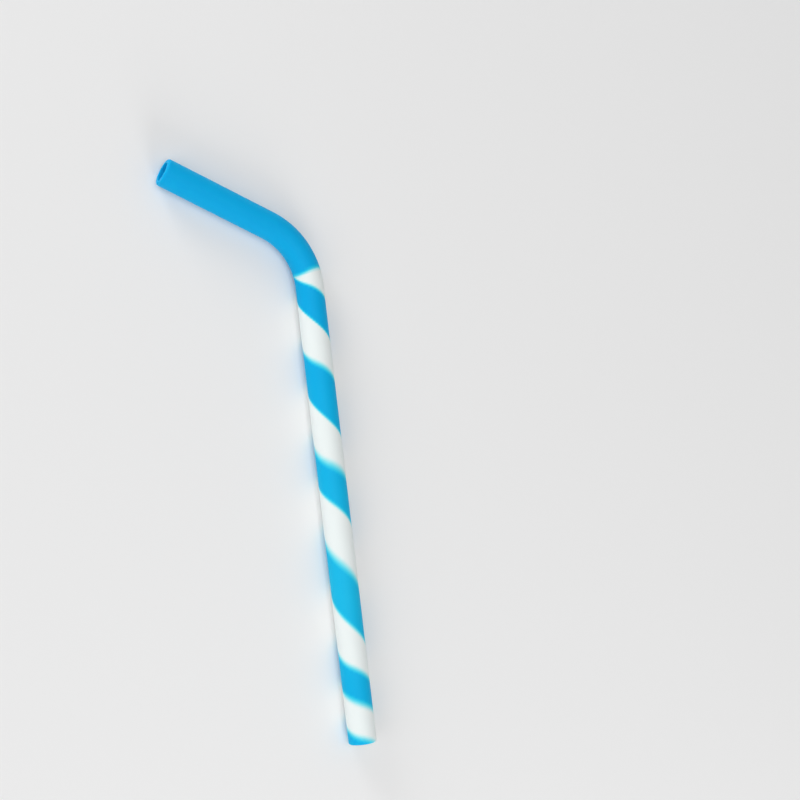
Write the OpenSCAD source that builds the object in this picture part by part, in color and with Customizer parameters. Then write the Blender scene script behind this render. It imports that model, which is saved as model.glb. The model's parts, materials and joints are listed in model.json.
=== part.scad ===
// Bent drinking straw for thick drinks: one length of thick-walled silicone tube, moulded with its bend.
// It lies on its side, with its body along Y, its foot at the low end of Y and its arm bent towards -X.

/* [Tube] */
// Outside diameter of the tube
tube_d = 11; // [8:0.5:16]
// Thickness of the silicone wall
wall = 1.8; // [1.4:0.1:2.5]

/* [Lengths] */
// Length of the straight body, from the foot to the start of the bend
body_l = 178.5; // [80:0.5:260]
// Length of the straight arm, from the end of the bend to the mouth
arm_l = 46; // [20:1:120]

/* [Bend] */
// Angle that the tube turns through
bend_angle = 60; // [30:1:85]
// Radius of the bend, measured to the middle of the tube
bend_r = 29; // [18:1:60]

/* [Ends] */
// Rounding of the wall's outer edge, at the foot and at the mouth
lip_out = 0.9; // [0.2:0.05:0.9]
// Rounding of the wall's inner edge, at the foot and at the mouth
lip_in = 0.3; // [0.1:0.05:0.4]

/* [Hidden] */
$fn = 96;

// Radius of the outside and of the bore
tube_r = tube_d / 2;
bore_r = tube_r - wall;

// Middle of the mouth, seen from above, with the foot's middle at [0, 0] and the body along Y
mouth_x = -bend_r * (1 - cos(bend_angle)) - arm_l * sin(bend_angle);
mouth_y = body_l + bend_r * sin(bend_angle) + arm_l * cos(bend_angle);

// Furthest reach of the mouth's rounded edge towards -X and +Y
corner_r = tube_r - lip_out;
reach_x = mouth_x + lip_out * sin(bend_angle) - corner_r * cos(bend_angle) - lip_out;
reach_y = mouth_y - lip_out * cos(bend_angle) + corner_r * sin(bend_angle) + lip_out;

// Shift that puts the origin under the middle of the straw's box, on the surface that it lies on
to_origin = [-(reach_x + tube_r) / 2, -reach_y / 2, tube_r];

// Side of a block that is large enough to cut away half of the bend's full ring
cutter = 2 * (bend_r + tube_d);

// Cut through the wall on one side of the tube, standing on its rounded lip
module wall_section(length) {
    translate([bore_r, lip_in])
        square([wall - lip_out, length - lip_in]);
    translate([bore_r + lip_in, lip_out])
        square([wall - lip_in, length - lip_out]);
    translate([bore_r + lip_in, 0])
        square([wall - lip_in - lip_out, length]);
    translate([bore_r + lip_in, lip_in])
        circle(r = lip_in);
    translate([corner_r, lip_out])
        circle(r = lip_out);
}

// Straight tube along Z, with its rounded lip at Z 0 and a plain end where the bend takes over
module straight_tube(length) {
    rotate_extrude()
        wall_section(length);
}

// Block that fills the space on the +Y side of the XZ plane
module half_space() {
    translate([-cutter / 2, 0, -cutter / 2])
        cube(cutter);
}

// Bend about Z: a ring of tube, of which the stretch from the +X axis to the bend angle stays
module bent_tube() {
    difference() {
        rotate_extrude()
            translate([bend_r, 0])
                difference() {
                    circle(r = tube_r);
                    circle(r = bore_r);
                }
        mirror([0, 1, 0])
            half_space();
        rotate([0, 0, bend_angle])
            half_space();
    }
}

module straw() {
    color("deepskyblue")
        translate(to_origin) {
            // Body, from the foot up to the bend
            rotate([-90, 0, 0])
                straight_tube(body_l);
            translate([-bend_r, body_l, 0]) {
                bent_tube();
                // Arm, from the mouth back down to the bend
                rotate([0, 0, bend_angle])
                    translate([bend_r, arm_l, 0])
                        rotate([90, 0, 0])
                            straight_tube(arm_l);
            }
        }
}

straw();
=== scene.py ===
"""Looks of a bent silicone smoothie straw: a thick blue and white tube that lies on a pale table.

Lengths are in millimetres until they reach Blender, which works in metres. A place on the tube
is given by its length along the middle of the tube, from the foot, and by its turn about that
middle.
"""

import json
import math

import bpy
import numpy as np
from mathutils import Matrix, Vector


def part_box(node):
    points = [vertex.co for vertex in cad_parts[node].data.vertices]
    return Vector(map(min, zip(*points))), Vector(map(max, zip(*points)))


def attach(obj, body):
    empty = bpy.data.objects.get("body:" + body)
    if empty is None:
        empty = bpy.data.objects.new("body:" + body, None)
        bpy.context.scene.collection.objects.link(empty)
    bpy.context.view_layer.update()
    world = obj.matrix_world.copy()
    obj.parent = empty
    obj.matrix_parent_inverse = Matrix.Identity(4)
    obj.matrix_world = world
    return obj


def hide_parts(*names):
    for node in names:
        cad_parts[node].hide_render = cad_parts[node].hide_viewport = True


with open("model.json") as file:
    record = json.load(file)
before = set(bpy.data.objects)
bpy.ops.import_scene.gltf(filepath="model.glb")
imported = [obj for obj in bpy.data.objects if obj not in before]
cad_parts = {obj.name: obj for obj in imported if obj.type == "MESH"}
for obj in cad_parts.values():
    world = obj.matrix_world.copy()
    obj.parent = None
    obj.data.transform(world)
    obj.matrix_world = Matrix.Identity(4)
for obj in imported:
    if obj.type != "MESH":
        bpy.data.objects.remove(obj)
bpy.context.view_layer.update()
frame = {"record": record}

MM = 0.001

# Camera, as the photograph was taken: it leans over from straight above, and is turned about
# its own axis
CAMERA_AIM = (52.65, 15.2, 18.1)
CAMERA_DISTANCE = 750
CAMERA_LEAN_DEG = 24.95
CAMERA_TURN_DEG = 6.65
LENS = 86.83
SENSOR = 36

# Fineness of the mesh: columns around the tube, spacing of its rows, and steps in a quarter of
# a rounded edge
COLUMNS = 128
ROW_SPACING = 1.0
LIP_STEPS = 6

# Parting line left by the mould's two halves, in the plane of the bend
FLASH_HEIGHT = 0.03
FLASH_WIDTH = 0.4

# The line along the tube that faces the camera, by its turn from the outside of the bend
FRONT_LINE_DEG = 115

# The blue band winds about the tube once in each turn. Each knot is where one of its edges
# crosses the front line: the length from the foot, how much that grows in a whole turn there,
# and the length over which blue and white run together. The band comes in below the foot, and
# its last turn never ends, so the bend and arm are blue all round.
FIRST_LOWER_TURN = 0
LOWER_EDGE = (
    (-15.5, 60, 4.0),
    (16.5, 17, 4.2),
    (47.6, 40, 3.2),
    (93.5, 32, 2.6),
    (128.1, 39, 2.0),
    (165.4, 35, 1.4),
    (184.5, -8, 2.2),
    (198.5, 30, 2.2),
)
FIRST_UPPER_TURN = -1
UPPER_EDGE = (
    (-23.5, 30, 4.6),
    (2.8, 11, 3.9),
    (30.1, 18.5, 3.8),
    (70.9, 34.5, 6.6),
    (109.6, 18, 5.8),
    (148.4, 18.5, 3.8),
    (179, 18, 2.0),
    (298.5, 300, 2.0),
)

# Lengths from the foot, and how deep the blue is there. This is painted light: the blue is
# painted paler below the bend where the body was more brightly lit, and deeper at the foot as
# painted shade.
PAINTED_LIGHT_LENGTHS = (20, 58, 173)
PAINTED_LIGHT_DEPTHS = (0.88, 0.73, 1.0)

BLUE = "#07ADE6"
WHITE = "#EEF5F4"
COLOUR_STOPS = 11

# Skin of the silicone: size and depth of the grain that the blasted mould leaves, and of the
# slow unevenness of its wall. The grain is drawn coarser than the real grit, so that it shows.
GRAIN_SIZE = 0.4
GRAIN_DEPTH = 0.02
WAVE_SIZE = 9
WAVE_DEPTH = 0.1

# The table, with half of its side in metres
TABLE = "#F2F2F2"
TABLE_HALF = 3.0

# Soft square lamps around the straw, in metres and watts: azimuth from +X towards +Y and height,
# both in degrees, then distance, side and power. The even light of the room adds to them.
LAMPS = {
    "side": (190, 36, 3.2, 2.0, 16),
    "top": (180, 80, 3.2, 2.0, 34),
    "foot": (273, 22, 1.1, 0.45, 3.6),
    "mouth": (117, 13, 1.3, 0.5, 6.0),
}
ROOM_LIGHT = 0.34


def linear(colour):
    """An sRGB hex colour as linear red, green, blue and alpha."""
    parts = np.array([int(colour[i : i + 2], 16) for i in (1, 3, 5)]) / 255
    low, high = parts / 12.92, ((parts + 0.055) / 1.055) ** 2.4
    return (*np.where(parts <= 0.04045, low, high).tolist(), 1.0)


def read_tube():
    """The tube's sizes, in mm, from the frame: its mounts give the axes, radii and lengths.

    The bend starts and ends where the straight bores do. Its radius is half the distance
    between those two points, over the sine of half the bend's angle. The bore and the outside
    begin where the rounding of the lip's inner and outer edge ends.
    """
    mounts = {m["name"]: m for m in frame["record"]["mounts"]}
    foot, mouth = mounts["foot_bore"], mounts["mouth_bore"]
    start, end = (
        np.array(m["pos_m"]) / MM - np.array(m["axis"]) * m["dims"]["length_mm"]
        for m in (foot, mouth)
    )
    along, arm = -np.array(foot["axis"], float), np.array(mouth["axis"], float)
    angle = math.acos(along @ arm)
    up = np.cross(along, arm) / math.sin(angle)
    radius = np.linalg.norm(end - start) / 2 / math.sin(angle / 2)
    foot_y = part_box("straw")[0][1] / MM
    inner, outer = (mounts[m]["pos_m"][1] / MM - foot_y for m in ("foot_bore", "body_outside"))
    body, arm_length = (m["dims"]["length_mm"] + inner for m in (foot, mouth))
    return {
        "start": start,
        "along": along,
        "outward": np.cross(along, up),
        "up": up,
        "angle": angle,
        "radius": radius,
        "body": body,
        "length": body + radius * angle + arm_length,
        "outside": mounts["body_outside"]["dims"]["r_mm"],
        "bore": foot["dims"]["r_mm"],
        "inner_lip": inner,
        "outer_lip": outer,
    }


tube = read_tube()


def sweep(length, radius, turn):
    """Points at a length along the tube, a distance from its middle and a turn about it.

    The middle is straight, an arc about the bend's centre, then straight again. With a as the
    angle bent so far, it is the centre plus the bend's radius times the outward direction at a,
    plus the straight stretch before or beyond the arc. Around it the points lie on a circle
    between the outward direction and up.
    """
    past_body = length - tube["body"]
    bent = np.clip(past_body / tube["radius"], 0, tube["angle"])
    straight = past_body - bent * tube["radius"]
    cos, sin = np.cos(bent)[..., None], np.sin(bent)[..., None]
    outward = cos * tube["outward"] + sin * tube["along"]
    forward = cos * tube["along"] - sin * tube["outward"]
    centre = tube["start"] - tube["radius"] * tube["outward"]
    middle = centre + tube["radius"] * outward + straight[..., None] * forward
    around = np.cos(turn)[..., None] * outward + np.sin(turn)[..., None] * tube["up"]
    return middle + radius[..., None] * around


def wall_loop():
    """Length and radius of each row of the mesh, once round a cut through the wall.

    The rows run round the mouth's lip, down the bore, round the foot's lip and up the outside.
    Each lip has two quarter circles with a narrow flat between them: a point is the circle's
    middle plus its radius times the sine of the angle along the tube and the cosine away from
    its middle.
    """
    top, inner, outer = tube["length"], tube["inner_lip"], tube["outer_lip"]
    outside, bore = tube["outside"] - outer, tube["bore"] + inner
    corners = (
        (top - outer, outside, outer, 0),
        (top - inner, bore, inner, 90),
        (inner, bore, inner, 180),
        (outer, outside, outer, 270),
    )
    rounds = []
    for middle, radius, size, start in corners:
        angle = np.radians(start + np.linspace(0, 90, LIP_STEPS + 1))
        rounds.append((middle + size * np.sin(angle), radius + size * np.cos(angle)))
    rows = np.linspace(0, 1, round(top / ROW_SPACING) + 1)[1:-1]
    bore_rows = (top - inner + (2 * inner - top) * rows, np.full(rows.size, tube["bore"]))
    outside_rows = (outer + (top - 2 * outer) * rows, np.full(rows.size, tube["outside"]))
    stretches = (rounds[0], rounds[1], bore_rows, rounds[2], rounds[3], outside_rows)
    return np.concatenate(stretches, axis=1)


def edge_at(turns, first, knots):
    """Length at which one edge of the band lies, and its blend, for a count of turns.

    The length is a cubic between two knots, which meets the length and the climb given at both.
    Beyond the first and last it is the same cubic carried on. The blend goes evenly from knot
    to knot.
    """
    lengths, climbs, blends = np.array(knots, float).T
    i = np.clip(np.floor(turns).astype(int) - first, 0, len(knots) - 2)
    t = turns - first - i
    length = (
        lengths[i] * (1 + 2 * t) * (1 - t) ** 2
        + climbs[i] * t * (1 - t) ** 2
        + lengths[i + 1] * t**2 * (3 - 2 * t)
        - climbs[i + 1] * t**2 * (1 - t)
    )
    return length, np.interp(turns - first, np.arange(len(knots)), blends)


def blue_share(length, turn):
    """Share of blue in the colour of each point, from 0 to 1.

    Each edge gives half plus the distance inside it over its blend, and a winding of the band
    takes the lesser of its two edges. The share is the square of the greatest of the windings,
    times the blue's depth there. That depth is painted light: paler blue where the body was more
    brightly lit, and deeper blue near the foot as painted shade.
    """
    from_front = turn / (2 * math.pi) - FRONT_LINE_DEG / 360
    from_front -= np.round(from_front)
    most = np.zeros(length.shape)
    for winding in range(len(LOWER_EDGE)):
        turns = winding + from_front
        lower, lower_blend = edge_at(turns, FIRST_LOWER_TURN, LOWER_EDGE)
        upper, upper_blend = edge_at(turns, FIRST_UPPER_TURN, UPPER_EDGE)
        inside = np.minimum((length - lower) / lower_blend, (upper - length) / upper_blend)
        most = np.maximum(most, 0.5 + inside)
    # Times the blue's depth along the tube: painted light, paler where the body was more brightly
    # lit and deeper near the foot as painted shade
    return np.clip(most, 0, 1) ** 2 * np.interp(length, PAINTED_LIGHT_LENGTHS, PAINTED_LIGHT_DEPTHS)


def closed_grid(name, points, skin):
    """A mesh from rows and columns of points that both close on themselves.

    The UV map is the turn about the tube and the way along the wall's skin, each from 0 to 1,
    so it covers every face once.
    """
    rows, columns, _ = points.shape
    i, j = np.meshgrid(np.arange(rows), np.arange(columns), indexing="ij")
    corners = [(i, j), (i + 1, j), (i + 1, j + 1), (i, j + 1)]
    faces = np.stack([(a % rows) * columns + b % columns for a, b in corners], axis=-1)
    mesh = bpy.data.meshes.new(name)
    mesh.from_pydata((points.reshape(-1, 3) * MM).tolist(), [], faces.reshape(-1, 4).tolist())
    around = np.arange(columns + 1) / columns
    uv = np.stack([np.stack([around[b], skin[a]], axis=-1) for a, b in corners], axis=2)
    mesh.uv_layers.new(name="skin").data.foreach_set("uv", uv.astype(np.float32).ravel())
    mesh.shade_smooth()
    piece = bpy.data.objects.new(name, mesh)
    bpy.context.scene.collection.objects.link(piece)
    return piece


def make_straw():
    """The tube: each row of the wall's loop turned once about the middle.

    A faint ridge runs where the mould's halves met. Its height falls evenly to nothing with the
    distance from the joint.
    """
    rows, radii = wall_loop()
    step = np.hypot(np.diff(rows, append=rows[0]), np.diff(radii, append=radii[0]))
    skin = np.concatenate([[0], np.cumsum(step)]) / step.sum()
    turns = np.arange(COLUMNS) * 2 * math.pi / COLUMNS
    length, radius, turn = np.broadcast_arrays(rows[:, None], radii[:, None], turns)
    from_joint = np.abs((turn + math.pi / 2) % math.pi - math.pi / 2) * radius
    ridge = FLASH_HEIGHT * np.clip(1 - from_joint / FLASH_WIDTH, 0, 1)
    outside = np.isclose(radius, tube["outside"])
    points = sweep(length, radius + np.where(outside, ridge, 0), turn)
    straw = closed_grid("smoothie_straw", points, skin)
    layer = straw.data.attributes.new("blue_share", "FLOAT", "POINT")
    layer.data.foreach_set("value", blue_share(length, turn).astype(np.float32).ravel())
    return straw


def add(nodes, kind, links=(), **settings):
    """Adds one node to a tree, sets its values by name and links what comes into its sockets."""
    node = nodes.new(kind)
    for key, value in settings.items():
        if hasattr(node, key):
            setattr(node, key, value)
        else:
            node.inputs[key.replace("_", " ")].default_value = value
    for socket, source in links:
        node.id_data.links.new(source, node.inputs[socket])
    return node


def new_material(name):
    """An empty node material and its nodes."""
    material = bpy.data.materials.new(name)
    material.use_nodes = True
    material.node_tree.nodes.clear()
    return material, material.node_tree.nodes


def moulded_silicone():
    """Two-colour silicone rubber, moulded and cured in one go.

    It has a satin skin from the mould's fine blasting, a little light in its depth, and colours
    that run together where they met while soft. Pigment takes light away by its depth, so a mix
    is white times (blue / white) to the power of the blue's share, which turns the soft edge a
    bright cyan.
    """
    material, nodes = new_material("moulded silicone")
    # The share carries painted light too: the blue's depth along the tube, paler where the body
    # was more brightly lit and deeper near the foot as painted shade
    share = add(nodes, "ShaderNodeAttribute", attribute_name="blue_share")
    mix = add(nodes, "ShaderNodeValToRGB", [("Fac", share.outputs["Fac"])])
    white, blue = np.array(linear(WHITE)[:3]), np.array(linear(BLUE)[:3])
    ramp = mix.color_ramp.elements
    shares = np.linspace(0, 1, COLOUR_STOPS)
    for part in shares[1:-1]:
        ramp.new(part)
    for stop, part in zip(ramp, shares):
        stop.position = part
        stop.color = (*(white * (blue / white) ** part), 1)
    place = [("Vector", add(nodes, "ShaderNodeTexCoord").outputs["Object"])]
    grain = add(nodes, "ShaderNodeTexNoise", place, Scale=1 / (GRAIN_SIZE * MM), Detail=2.0)
    waves = add(nodes, "ShaderNodeTexNoise", place, Scale=1 / (WAVE_SIZE * MM), Detail=1.0)
    rough = add(
        nodes,
        "ShaderNodeMapRange",
        [("Value", grain.outputs["Fac"])],
        To_Min=0.5,
        To_Max=0.6,
    )
    wavy = add(
        nodes,
        "ShaderNodeBump",
        [("Height", waves.outputs["Fac"])],
        Strength=0.5,
        Distance=WAVE_DEPTH * MM,
    )
    grainy = add(
        nodes,
        "ShaderNodeBump",
        [("Height", grain.outputs["Fac"]), ("Normal", wavy.outputs["Normal"])],
        Strength=0.3,
        Distance=GRAIN_DEPTH * MM,
    )
    shader = add(
        nodes,
        "ShaderNodeBsdfPrincipled",
        [
            ("Base Color", mix.outputs["Color"]),
            ("Roughness", rough.outputs["Result"]),
            ("Normal", grainy.outputs["Normal"]),
        ],
        IOR=1.41,
        Specular_IOR_Level=0.12,
        Subsurface_Weight=0.3,
        Subsurface_Scale=1.5 * MM,
        Subsurface_Radius=(1.0, 1.0, 1.0),
    )
    add(nodes, "ShaderNodeOutputMaterial", [("Surface", shader.outputs["BSDF"])])
    return material


def matt_board():
    """Matt painted board under the straw: it takes the shadow and shows hardly any gloss."""
    material, nodes = new_material("matt painted board")
    shader = add(
        nodes,
        "ShaderNodeBsdfPrincipled",
        Base_Color=linear(TABLE),
        Roughness=0.9,
        Specular_IOR_Level=0.2,
    )
    add(nodes, "ShaderNodeOutputMaterial", [("Surface", shader.outputs["BSDF"])])
    return material


def make_table():
    """A flat square of board, wide enough to fill the view of the camera."""
    half = TABLE_HALF
    mesh = bpy.data.meshes.new("table")
    corners = [(-half, -half, 0), (half, -half, 0), (half, half, 0), (-half, half, 0)]
    mesh.from_pydata(corners, [], [(0, 1, 2, 3)])
    mesh.materials.append(matt_board())
    table = bpy.data.objects.new("table", mesh)
    bpy.context.scene.collection.objects.link(table)


def make_camera():
    """The camera: straight down, turned about its own axis, then leant over about the Y axis."""
    data = bpy.data.cameras.new("camera")
    data.lens, data.sensor_width = LENS, SENSOR
    camera = bpy.data.objects.new("camera", data)
    bpy.context.scene.collection.objects.link(camera)
    lean = Matrix.Rotation(-math.radians(CAMERA_LEAN_DEG), 4, "Y")
    turn = Matrix.Rotation(-math.radians(CAMERA_TURN_DEG), 4, "Z")
    back = Matrix.Translation((0, 0, CAMERA_DISTANCE * MM))
    camera.matrix_world = Matrix.Translation(Vector(CAMERA_AIM) * MM) @ lean @ turn @ back
    bpy.context.scene.camera = camera


def softbox(name, azimuth, height, distance, size, watts):
    """A square lamp that faces the straw.

    Its place is the distance times the direction that its azimuth and height give.
    """
    data = bpy.data.lights.new(name, "AREA")
    data.shape, data.size, data.energy = "SQUARE", size, watts
    lamp = bpy.data.objects.new(name, data)
    a, h = math.radians(azimuth), math.radians(height)
    away = Vector((math.cos(a) * math.cos(h), math.sin(a) * math.cos(h), math.sin(h)))
    lamp.location = away * distance
    lamp.rotation_euler = away.to_track_quat("Z", "Y").to_euler()
    bpy.context.scene.collection.objects.link(lamp)


def make_world(strength):
    """Even light from all round.

    The camera and any reflection see it as the table's own pale grey.
    """
    world = bpy.data.worlds.new("studio")
    bpy.context.scene.world = world
    world.use_nodes = True
    nodes = world.node_tree.nodes
    nodes.clear()
    path = add(nodes, "ShaderNodeLightPath")
    seen = path.outputs["Is Camera Ray"]
    for kind in ("Is Glossy Ray", "Is Transmission Ray"):
        either = [(0, seen), (1, path.outputs[kind])]
        seen = add(nodes, "ShaderNodeMath", either, operation="MAXIMUM").outputs[0]
    room = add(nodes, "ShaderNodeBackground", Color=linear("#FFFFFF"), Strength=strength)
    backdrop = add(nodes, "ShaderNodeBackground", Color=linear(TABLE), Strength=1.0)
    both = add(
        nodes,
        "ShaderNodeMixShader",
        [(0, seen), (1, room.outputs["Background"]), (2, backdrop.outputs["Background"])],
    )
    add(nodes, "ShaderNodeOutputWorld", [("Surface", both.outputs["Shader"])])


straw = make_straw()
straw.data.materials.append(moulded_silicone())
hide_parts("straw")
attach(straw, "root")

make_table()
make_camera()
make_world(ROOM_LIGHT)
for lamp, setting in LAMPS.items():
    softbox(lamp, *setting)

bpy.context.scene.view_settings.view_transform = "Standard"
